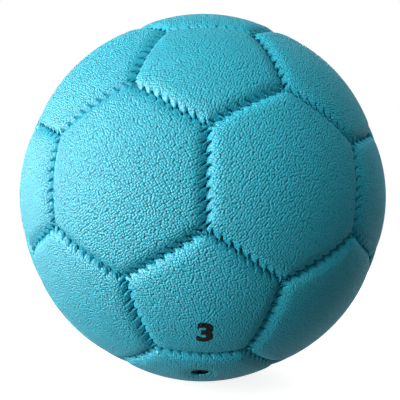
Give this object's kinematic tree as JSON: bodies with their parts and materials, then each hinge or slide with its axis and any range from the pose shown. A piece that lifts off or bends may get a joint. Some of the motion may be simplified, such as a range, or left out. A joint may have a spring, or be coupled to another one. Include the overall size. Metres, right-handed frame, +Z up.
{
  "type": "handball",
  "caption": "Hand-stitched handball of padded hexagon and pentagon panels, sewn round a rubber bladder that is pumped up through a needle valve.",
  "frame": {"origin": "centre of the ball", "axes": "+Z up; -Y is the front, where the seam between two hexagons stands upright with a pentagon above and below it; +X to the right of that seam"},
  "size_m": [0.1862, 0.1862, 0.1862],
  "materials": {
    "skin": "pebble-grained polyurethane, sky blue, satin",
    "foam": "closed-cell foam, off-white",
    "lining": "woven polyester-cotton, natural",
    "thread": "waxed polyester, sky blue",
    "bladder": "butyl rubber, matt black",
    "valve": "moulded rubber, black"
  },
  "bodies": {
    "root": {"hex_panel_01": "skin", "hex_panel_02": "skin", "hex_panel_03": "skin", "hex_panel_04": "skin", "hex_panel_05": "skin", "hex_panel_06": "skin", "hex_panel_07": "skin", "hex_panel_08": "skin", "hex_panel_09": "skin", "hex_panel_10": "skin", "hex_panel_11": "skin", "hex_panel_12": "skin", "hex_panel_13": "skin", "hex_panel_14": "skin", "hex_panel_15": "skin", "hex_panel_16": "skin", "hex_panel_17": "skin", "hex_panel_18": "skin", "hex_panel_19": "skin", "valve_panel": "skin", "pent_panel_01": "skin", "pent_panel_02": "skin", "pent_panel_03": "skin", "pent_panel_04": "skin", "pent_panel_05": "skin", "pent_panel_06": "skin", "pent_panel_07": "skin", "pent_panel_08": "skin", "pent_panel_09": "skin", "pent_panel_10": "skin", "pent_panel_11": "skin", "pent_panel_12": "skin", "hex_foam_pads": "foam", "pent_foam_pads": "foam", "hex_linings": "lining", "pent_linings": "lining", "hex_seam_threads": "thread", "pent_seam_threads": "thread", "bladder": "bladder", "valve_housing": "valve", "valve_insert": "valve"}
  },
  "joints": []
}
